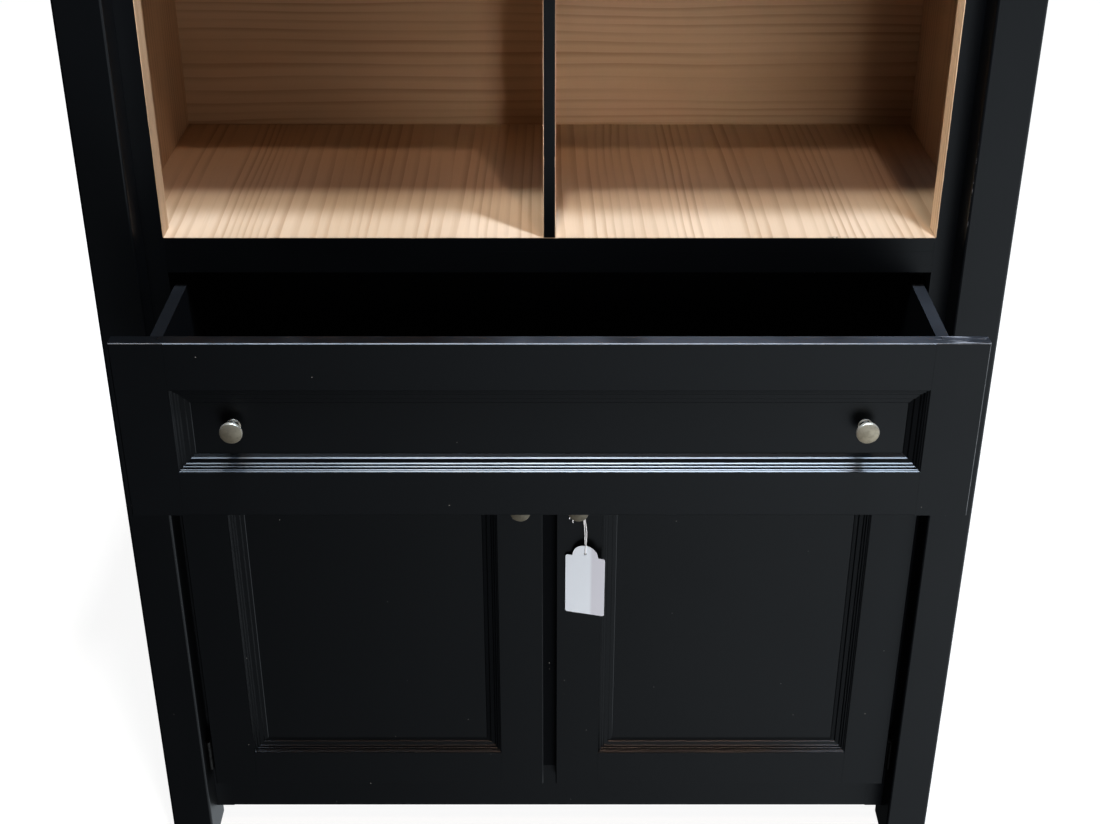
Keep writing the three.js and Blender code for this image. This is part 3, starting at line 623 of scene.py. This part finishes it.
def studio_finish(settings):
    """Plain pale floor and backdrop, a little bright by themselves."""
    ground = tuple(settings.ground)
    white = (1.0, 1.0, 1.0, 1.0)
    finish = Finish("studio ground", specular_ior_level=0.0, emission_color=white, emission_strength=settings.glow)
    cloud = finish.noise(finish.point(*finish.place()), 0.8, 3.0)
    return finish.dress(finish.mix(cloud, ground, tuple(value * 0.97 for value in ground)), 0.7 + cloud * 0.1)


def surroundings(settings):
    """What the gloss reflects: dim above, and below it a soft glow that grows from the left to the right."""
    world = bpy.data.worlds.new("studio")
    world.use_nodes = True
    plan = Plan(world.node_tree)
    across, _, up = plan.parts(plan.node("ShaderNodeTexCoord", output="Generated"))
    low = up.fall(-0.3, 0.0) * up.rise(-1.2, -0.3)
    glow = low * (across + GLOW_START).over(0.0).under(GLOW_MOST) * settings.bounce + settings.ambient
    shader = plan.node("ShaderNodeBackground", None, {"Color": SKY, "Strength": glow})
    output = plan.tree.nodes.new("ShaderNodeOutputWorld")
    plan.tree.links.new(shader.socket, output.inputs["Surface"])
    return world


# ---------------------------------------------------------------- meshes


def new_piece(name, work, body, finish, *replaced):
    """A piece from a finished bmesh, which rides on a body and stands for CAD nodes."""
    bmesh.ops.recalc_face_normals(work, faces=work.faces)
    mesh = bpy.data.meshes.new(name)
    work.to_mesh(mesh)
    work.free()
    mesh.shade_smooth()
    piece = bpy.data.objects.new(name, mesh)
    bpy.context.scene.collection.objects.link(piece)
    mesh.materials.append(finish)
    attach(piece, body)
    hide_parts(*replaced)
    return piece


def repaint(names, finish):
    """Gives a finish to CAD nodes whose shape is right."""
    for name in names:
        mesh = nodes[name].data
        mesh.materials.clear()
        mesh.materials.append(finish)


def turned_knob(profile, steps):
    """A closed solid turned from a profile of radius and reach, pointing to the front from the origin."""
    work = bmesh.new()
    verts = [work.verts.new((radius, -reach, 0.0)) for radius, reach in profile]
    edges = [work.edges.new(pair) for pair in zip(verts, verts[1:])]
    bmesh.ops.spin(
        work, geom=verts + edges, cent=(0.0, 0.0, 0.0), axis=(0.0, 1.0, 0.0), angle=math.tau, steps=steps,
        use_merge=True, use_duplicate=False,
    )
    bmesh.ops.remove_doubles(work, verts=work.verts, dist=1e-6)
    return work


def knob_profile(radius, reach):
    """Base ring, bead, neck, under side, thick rim and low dome, as radius and reach from the mounting face."""
    shares = [
        (0.0, 0.0), (0.6, 0.0), (0.625, 0.006), (0.637, 0.02), (0.64, 0.035), (0.637, 0.055), (0.625, 0.07),
        (0.6, 0.078), (0.565, 0.083), (0.54, 0.09), (0.522, 0.105), (0.512, 0.125), (0.5, 0.148), (0.475, 0.168),
        (0.44, 0.19), (0.405, 0.216), (0.372, 0.25), (0.35, 0.285), (0.34, 0.32), (0.338, 0.4), (0.34, 0.49),
        (0.352, 0.53), (0.385, 0.56), (0.45, 0.582), (0.56, 0.6), (0.7, 0.618), (0.83, 0.637), (0.91, 0.655),
        (0.955, 0.675), (0.98, 0.7), (0.994, 0.73), (1.0, 0.77), (0.997, 0.805), (0.985, 0.84), (0.962, 0.867),
        (0.93, 0.886), (0.88, 0.903), (0.8, 0.922), (0.7, 0.941), (0.58, 0.96), (0.45, 0.976), (0.3, 0.989),
        (0.15, 0.997), (0.0, 1.0),
    ]
    return [(radius * out, reach * up) for out, up in shares]


# The string's middle line in metres: from one free end over the knob's neck, down through the tag and back
STRING_ROUTE = (
    (0.02610, -0.12008, 0.56450), (0.02860, -0.12008, 0.57150), (0.03241, -0.12008, 0.57900),
    (0.03405, -0.12008, 0.58295), (0.03800, -0.12008, 0.58459), (0.04195, -0.12008, 0.58295),
    (0.04359, -0.12008, 0.57900), (0.04560, -0.12008, 0.56900), (0.04900, -0.12038, 0.54500),
    (0.04800, -0.12068, 0.51750), (0.04760, -0.12068, 0.51150), (0.04760, -0.12008, 0.50940),
    (0.04760, -0.11898, 0.50850), (0.04760, -0.11788, 0.50940), (0.04760, -0.11728, 0.51150),
    (0.04720, -0.11728, 0.51750), (0.04660, -0.11758, 0.54500), (0.04440, -0.11788, 0.56900),
    (0.04359, -0.11788, 0.57900), (0.04195, -0.11788, 0.58295), (0.03800, -0.11788, 0.58459),
    (0.03405, -0.11788, 0.58295), (0.03241, -0.11788, 0.57900), (0.03140, -0.11788, 0.57000),
    (0.03070, -0.11788, 0.55700),
)


def smooth_route(points):
    """Points on the smooth curve through the given ones, spaced by the root of the distances between them."""
    knots = [Vector(point) for point in points]
    knots = [2 * knots[0] - knots[1], *knots, 2 * knots[-1] - knots[-2]]
    route = []
    for p0, p1, p2, p3 in zip(knots, knots[1:], knots[2:], knots[3:]):
        t0 = 0.0
        t1 = t0 + (p1 - p0).length ** 0.5
        t2 = t1 + (p2 - p1).length ** 0.5
        t3 = t2 + (p3 - p2).length ** 0.5
        for i in range(ROUTE_PARTS):
            t = t1 + (t2 - t1) * i / ROUTE_PARTS
            a1 = p0 * ((t1 - t) / (t1 - t0)) + p1 * ((t - t0) / (t1 - t0))
            a2 = p1 * ((t2 - t) / (t2 - t1)) + p2 * ((t - t1) / (t2 - t1))
            a3 = p2 * ((t3 - t) / (t3 - t2)) + p3 * ((t - t2) / (t3 - t2))
            b1 = a1 * ((t2 - t) / (t2 - t0)) + a2 * ((t - t0) / (t2 - t0))
            b2 = a2 * ((t3 - t) / (t3 - t1)) + a3 * ((t - t1) / (t3 - t1))
            route.append(b1 * ((t2 - t) / (t2 - t1)) + b2 * ((t - t1) / (t2 - t1)))
    return [*route, knots[-2]]


# ---------------------------------------------------------------- operators


class DRESSER_OT_camera(bpy.types.Operator):
    """Adds the camera at the photograph's place"""

    bl_idname = "dresser.camera"
    bl_label = "Camera"

    def execute(self, context):
        data = bpy.data.cameras.new("camera")
        data.sensor_width = SENSOR
        data.lens = context.scene.dresser_studio.lens
        camera = bpy.data.objects.new("camera", data)
        camera.location = CAMERA_PLACE
        camera.rotation_euler = (math.radians(90.0 - CAMERA_TILT), 0.0, 0.0)
        context.scene.collection.objects.link(camera)
        context.scene.camera = camera
        return {"FINISHED"}


class DRESSER_OT_hang_tag(bpy.types.Operator):
    """Makes the string that holds the card tag on the right door's knob, and gives the card its finish"""

    bl_idname = "dresser.hang_tag"
    bl_label = "Hang tag"

    def execute(self, context):
        settings = context.scene.dresser_tag
        curve = bpy.data.curves.new("string", "CURVE")
        curve.dimensions = "3D"
        spline = curve.splines.new("POLY")
        route = smooth_route(STRING_ROUTE)
        spline.points.add(len(route) - 1)
        for point, place in zip(spline.points, route):
            point.co = (*place, 1.0)
        curve.bevel_depth = settings.string / 2.0
        curve.bevel_resolution = 4
        curve.use_fill_caps = True
        string = bpy.data.objects.new("string", curve)
        context.scene.collection.objects.link(string)
        curve.materials.append(cotton_finish(settings))
        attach(string, "tag")
        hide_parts("tag_string")
        repaint(["hang_tag"], card_finish(settings))
        run = sum((b - a).length for a, b in zip(route, route[1:]))
        return {"FINISHED"}


class DRESSER_OT_knobs(bpy.types.Operator):
    """Turns the four pewter knobs"""

    bl_idname = "dresser.knobs"
    bl_label = "Knobs"

    def execute(self, context):
        settings = context.scene.dresser_knobs
        # Each knob's share makes its metal lighter or darker: painted light and shade, the drawer's right knob lit
        # from the right, its left knob darker, the door knobs in the drawer front's shade
        bodies_and_painted_light = {
            "drawer_knob_left": ("drawer", 0.71),
            "drawer_knob_right": ("drawer", 1.3),
            "door_left_knob": ("door_left", 0.6),
            "door_right_knob": ("door_right", 0.6),
        }
        for node, (body, shade) in bodies_and_painted_light.items():
            low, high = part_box(node)
            radius = (high.x - low.x) / 2.0
            centre = Vector(((low.x + high.x) / 2.0, low.y, (low.z + high.z) / 2.0))
            work = turned_knob(knob_profile(radius, high.y - low.y), settings.steps)
            move = Matrix.Translation((centre.x, high.y, centre.z))
            bmesh.ops.transform(work, matrix=move, verts=work.verts)
            rim_centre = centre + Vector((0.0, (high.y - low.y) * RIM_DEPTH, 0.0))
            finish = pewter_finish(settings, f"pewter {node}", rim_centre, radius, shade)
            piece = new_piece(f"{node}_turned", work, body, finish, node)
        return {"FINISHED"}


class DRESSER_OT_paintwork(bpy.types.Operator):
    """Paints the carcass, the drawer front and the doors"""

    bl_idname = "dresser.paintwork"
    bl_label = "Paintwork"

    def execute(self, context):
        scene = context.scene
        arris = scene.dresser_paint.arris
        painted = [name for name in nodes if name.startswith("door_") and "knob" not in name]
        painted += ["front_post_left", "waist_rail", "drawer_rail", "base_rail", "base_back", "cabinet_floor",
                    "cabinet_shelf", "cornice"]
        repaint(painted, board_finish("satin black", scene))
        repaint(["top_board"], board_finish("satin black top", scene, dust_and_sheen=DUST_AND_SHEEN_TOP))
        front = [name for name in nodes if name.startswith("drawer_front_")]
        face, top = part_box("drawer_front_rail_upper")[0].y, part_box("drawer_front_rail_upper")[1].z
        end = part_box("drawer_front_stile_right")[1].x

        def front_worn_and_highlight(finish, x, y, z):
            """Rubbed and lightened as a painted highlight along the front's upper arris and its right end, and
            scuffed on top near that end.
            """
            patchy = finish.noise(finish.point(x * 60.0, y * 60.0, z * 60.0), 1.0, 3.0)
            streaks = finish.noise(finish.point(x * 30.0, y * 400.0, 0.0), 1.0, 3.0)
            at_face = step(face + RUB_AND_HIGHLIGHT_FACE - y, 0.0)
            upper = step(z, top - RUB_AND_HIGHLIGHT_TOP) * at_face * (patchy.rise(0.3, 0.55) * 0.45 + 0.2)
            side = step(x, end - RUB_AND_HIGHLIGHT_END) * at_face * patchy.rise(0.35, 0.6) * 0.5
            scuffs = step(z, top - 0.0002) * x.rise(end - 0.075, end - 0.03) * streaks.rise(0.56, 0.62) * 0.8
            return upper + side + scuffs

        # The drawer front gets a thick film of dust and painted sheen, and a painted highlight along its upper arris
        # and right end
        repaint(front, board_finish("satin black front", scene, worn=front_worn_and_highlight, dust_and_sheen=DUST_AND_SHEEN_FRONT))
        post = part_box("front_post_right")[0]

        def post_worn(finish, x, y, z):
            """A few rubbed bits on the inner arris above the hutch floor."""
            patchy = finish.noise(finish.point(0.0, 0.0, z * 90.0), 1.0, 4.0, 0.6)
            inner = step(post.x + RUBBED_POST - x, 0.0) * step(post.y + RUBBED_POST - y, 0.0)
            return inner * patchy.rise(0.5, 0.62) * z.rise(*POST_RUB_BELOW) * z.fall(*POST_RUB_ABOVE)

        repaint(["front_post_right"], board_finish("satin black post", scene, worn=post_worn))
        shares = {"drawer_front_moulding": 1.0, "door_left_moulding": DOOR_SHARE, "door_right_moulding": DOOR_SHARE}
        for name, lean_share in shares.items():
            repaint([name], moulding_finish(name, lean_share, scene))
        # The mullion's paint has less gloss so it reads darker: painted shade of its recess between the doors
        repaint(["door_mullion"], board_finish("satin black recess", scene, gloss=0.16))

        def frame_bare(finish, x, y, z):
            """Bare inside the hutch, behind the frame's front arris."""
            worn = finish.noise(finish.point(x * 30.0, y * 30.0, z * 30.0), 1.0, 3.0).rise(0.5, 0.75) * 0.0006
            inner = (x.size() * -1.0 + OPENING_HALF + arris + worn).rise(0.0, FRINGE)
            deep = y.rise(FRAME_FRONT + 0.0002, FRAME_FRONT + 0.0004)
            return deep.over(inner) * step(z, HUTCH_FLOOR) * inside_walls(x)

        for name, seed in (("face_stile_left", 1.7), ("face_stile_right", 4.3)):
            repaint([name], board_finish(f"painted {name}", scene, "z", seed, frame_bare))

        def header_bare(finish, x, y, z):
            """Bare behind the top rail's front arris."""
            return step(y, FRAME_FRONT + 0.001) * inside_walls(x)

        repaint(["top_rail"], board_finish("painted top rail", scene, "x", 9.1, header_bare))

        def side_bare(finish, x, y, z):
            """Bare on the inner face above the hutch floor."""
            return inside_walls(x) * step(z, HUTCH_FLOOR - 0.001)

        for name, seed in (("side_panel_left", 12.2), ("side_panel_right", 15.8)):
            repaint([name], board_finish(f"painted {name}", scene, "z", seed, side_bare))
        return {"FINISHED"}


class DRESSER_OT_pine_boards(bpy.types.Operator):
    """Gives the hutch its bare pine, with black front edges"""

    bl_idname = "dresser.pine_boards"
    bl_label = "Pine boards"

    def execute(self, context):
        scene = context.scene
        arris = scene.dresser_paint.arris
        divider_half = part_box("hutch_divider")[1].x
        shelf_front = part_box("hutch_shelf_left")[0].y

        def floor_bare(finish, x, y, z):
            """All but the front edge, less its upper arris, and a scuff of paint behind it."""
            worn = finish.noise(finish.point(x * 45.0, y * 45.0, 0.0), 1.0, 4.0).rise(0.55, 0.8) * 0.001
            chips = finish.noise(finish.point(x * 400.0, y * 400.0, 0.0), 1.0, 3.0).rise(0.45, 0.6)
            near = (x - SCUFF_PLACE).size().fall(0.004, 0.009)
            scuff = near * y.fall(FRAME_FRONT + 0.002, FRAME_FRONT + 0.005) * chips
            return behind_front(y).over(step(z + worn, HUTCH_FLOOR - arris)) * (1.0 - scuff * 0.7)

        def divider_bare(finish, x, y, z):
            """All but the front edge, less its two arrises."""
            worn = finish.noise(finish.point(3.0, y * 40.0, z * 40.0), 1.0, 4.0).rise(0.55, 0.8) * 0.0006
            return behind_front(y).over(step(x.size() + worn, divider_half - arris))

        def shelf_bare(finish, x, y, z):
            """All but the front edge."""
            return step(y, shelf_front + 0.0016)

        def back_bare(finish, x, y, z):
            """The back's inner face and edges."""
            return step(y, BACK_FACE - 0.01) * step(BACK_FACE + 0.008 - y, 0.0)

        repaint(["hutch_floor"], board_finish("pine floor", scene, "y", 21.0, floor_bare))
        repaint(["hutch_divider"], board_finish("pine divider", scene, "z", 27.5, divider_bare))
        repaint(["hutch_back"], board_finish("pine back", scene, "x", 33.0, back_bare))
        for name, seed in (("hutch_shelf_left", 38.0), ("hutch_shelf_right", 44.0)):
            repaint([name], board_finish(f"pine {name}", scene, "x", seed, shelf_bare))
        return {"FINISHED"}


class DRESSER_OT_drawer_box(bpy.types.Operator):
    """Stains the drawer box and its runners"""

    bl_idname = "dresser.drawer_box"
    bl_label = "Drawer box"

    def execute(self, context):
        paint = context.scene.dresser_paint
        finish = Finish("drawer stain", specular_ior_level=0.3)
        x, y, z = finish.place()
        coat, rough, height = paint_coat(finish, paint, paint.box_tint, x, y, z)
        fibre = finish.noise(finish.point(x * 40.0, y * 40.0, z * 900.0), 1.0, 2.0)
        normal = finish.bump(fibre + height * 0.2, 0.00008, 0.5)
        names = ["drawer_inner_front", "drawer_side_left", "drawer_side_right", "drawer_back", "drawer_bottom",
                 "drawer_runner_left", "drawer_runner_right"]
        repaint(names, finish.dress(coat, rough + 0.12, normal=normal))
        return {"FINISHED"}


class DRESSER_OT_hinges(bpy.types.Operator):
    """Blackens the steel hinges"""

    bl_idname = "dresser.hinges"
    bl_label = "Hinges"

    def execute(self, context):
        repaint([name for name in nodes if name.startswith("hinge_")], steel_finish(STEEL))
        return {"FINISHED"}


class DRESSER_OT_studio(bpy.types.Operator):
    """Adds the pale floor, the backdrop and the lights"""

    bl_idname = "dresser.studio"
    bl_label = "Studio"

    def lamp(self, name, place, target, size, power, tint):
        """A rectangular area light that points at a target."""
        data = bpy.data.lights.new(name, "AREA")
        data.shape = "RECTANGLE"
        data.size, data.size_y = size
        data.energy = power
        data.color = tint
        light = bpy.data.objects.new(name, data)
        light.location = place
        light.rotation_euler = (Vector(target) - Vector(place)).to_track_quat("-Z", "Y").to_euler()
        bpy.context.scene.collection.objects.link(light)
        return light

    def stage_piece(self, name, work, finish):
        """A floor or backdrop that only the camera sees."""
        mesh = bpy.data.meshes.new(name)
        work.to_mesh(mesh)
        work.free()
        piece = bpy.data.objects.new(name, mesh)
        mesh.materials.append(finish)
        bpy.context.scene.collection.objects.link(piece)
        piece.visible_diffuse = piece.visible_glossy = piece.visible_shadow = False

    def light_only(self, light, pieces):
        """Makes a lamp light some pieces and no others."""
        collection = bpy.data.collections.new(f"lit by {light.name}")
        for piece in pieces:
            if piece.type in {"MESH", "CURVE"}:
                collection.objects.link(piece)
        light.light_linking.receiver_collection = collection

    def execute(self, context):
        settings = context.scene.dresser_studio
        finish = studio_finish(settings)
        work = bmesh.new()
        bmesh.ops.create_circle(work, cap_ends=True, segments=96, radius=FLOOR_RADIUS)
        self.stage_piece("studio_floor", work, finish)
        work = bmesh.new()
        bmesh.ops.create_uvsphere(work, u_segments=64, v_segments=32, radius=BACKDROP_RADIUS)
        bmesh.ops.reverse_faces(work, faces=work.faces)
        self.stage_piece("studio_backdrop", work, finish)
        context.scene.world = surroundings(settings)
        context.scene.world.cycles_visibility.diffuse = False
        target = Vector(SHADOW_TARGET)
        for name, (way, depth, tint) in SHADOW_LIGHTS.items():
            place = target + Vector(way).normalized() * SHADOW_DISTANCE
            self.lamp(name, place, target, (SHADOW_WIDTH, depth), getattr(settings, name), tint)
        stiles = [nodes["face_stile_left"], nodes["face_stile_right"]]
        lit = {
            "low": [piece for piece in context.scene.objects if not piece.name.startswith("hutch_")],
            "edge_left": stiles,
            "edge_right": stiles,
            "edge_middle": [nodes["hutch_divider"]],
        }
        for name, (setting, power_share, place, aim, size, tint) in SOFT_LIGHTS.items():
            light = self.lamp(name, place, aim, size, getattr(settings, setting) * power_share, tint)
            light.visible_glossy = False
            if name == "beam":
                light.data.spread = math.radians(BEAM_SPREAD)
            if name in lit:
                self.light_only(light, lit[name])
        sheen = self.lamp("sheen", SHEEN_PLACE, FRONTS_MIDDLE, SHEEN_SIZE, settings.sheen, SHEEN_TINT)
        sheen.visible_diffuse = False
        return {"FINISHED"}


class DRESSER_PT_panel(bpy.types.Panel):
    """Lists the steps and their settings"""

    bl_idname = "DRESSER_PT_panel"
    bl_label = "Dresser with hutch"
    bl_space_type = "VIEW_3D"
    bl_region_type = "UI"
    bl_category = "Dresser"

    def draw(self, context):
        for name in STEPS:
            self.layout.operator(name)
        for group in GROUPS:
            box = self.layout.box()
            settings = getattr(context.scene, group)
            for key in settings.__annotations__:
                box.prop(settings, key)


GROUPS = {
    "dresser_paint": PaintSettings,
    "dresser_pine": PineSettings,
    "dresser_knobs": KnobSettings,
    "dresser_tag": TagSettings,
    "dresser_studio": StudioSettings,
}
OPERATORS = (
    DRESSER_OT_camera, DRESSER_OT_hang_tag, DRESSER_OT_knobs, DRESSER_OT_paintwork, DRESSER_OT_pine_boards,
    DRESSER_OT_drawer_box, DRESSER_OT_hinges, DRESSER_OT_studio,
)
STEPS = [operator.bl_idname for operator in OPERATORS]


def register():
    """Registers the settings, the operators and the panel."""
    for kind in (*GROUPS.values(), *OPERATORS, DRESSER_PT_panel):
        bpy.utils.register_class(kind)
    for name, kind in GROUPS.items():
        setattr(bpy.types.Scene, name, PointerProperty(type=kind))


def unregister():
    """Takes back what register does."""
    for name in GROUPS:
        delattr(bpy.types.Scene, name)
    for kind in (DRESSER_PT_panel, *reversed(OPERATORS), *reversed(GROUPS.values())):
        bpy.utils.unregister_class(kind)


def main():
    """Builds the whole scene."""
    register()
    bpy.context.scene.view_settings.view_transform = "Standard"
    bpy.context.scene.view_settings.look = "Medium High Contrast"
    for name in STEPS:
        group, step_name = name.split(".")
        getattr(getattr(bpy.ops, group), step_name)()


if __name__ == "__main__":
    main()
